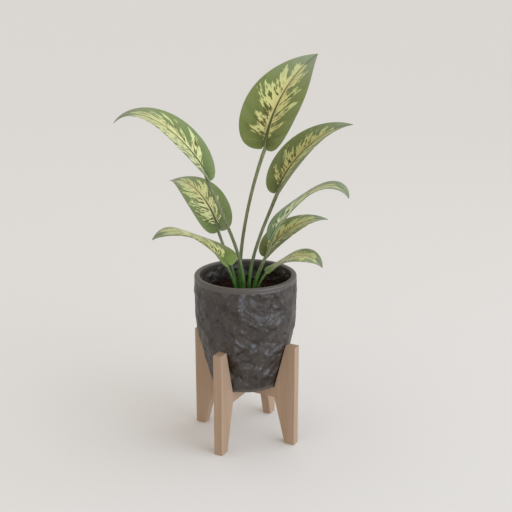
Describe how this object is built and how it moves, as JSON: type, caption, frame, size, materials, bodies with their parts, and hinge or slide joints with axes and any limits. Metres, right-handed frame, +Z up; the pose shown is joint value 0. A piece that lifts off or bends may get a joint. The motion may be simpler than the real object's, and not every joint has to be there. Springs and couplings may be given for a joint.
{
  "type": "potted plant",
  "caption": "Dieffenbachia with variegated, pointed leaves on long stalks, in a crumpled clay pot held by a low stand of two crossed wooden planks.",
  "frame": {"origin": "on the floor, under the middle of the pot, where the two planks of the stand cross", "axes": "+Z up; +X and +Y run along the two planks of the stand"},
  "size_m": [0.3926, 0.301, 0.7537],
  "materials": {
    "wood": "fine-sanded pale brown beech with a thin matt varnish",
    "clay": "unglazed dark grey-brown clay with a crumpled surface",
    "soil": "loose, dark brown potting soil",
    "stalk": "smooth, grey-olive, darker lengthwise streaks",
    "leaf": "semi-gloss, olive green with cream feathered variegation along the veins"
  },
  "bodies": {
    "root": {"stand_plank_x": "wood", "stand_plank_y": "wood", "pot": "clay", "soil": "soil", "petiole_1": "stalk", "petiole_2": "stalk", "petiole_3": "stalk", "petiole_4": "stalk", "petiole_5": "stalk", "petiole_6": "stalk", "petiole_7": "stalk", "petiole_8": "stalk", "blade_1": "leaf", "blade_2": "leaf", "blade_3": "leaf", "blade_4": "leaf", "blade_5": "leaf", "blade_6": "leaf", "blade_7": "leaf", "blade_8": "leaf"}
  },
  "joints": []
}
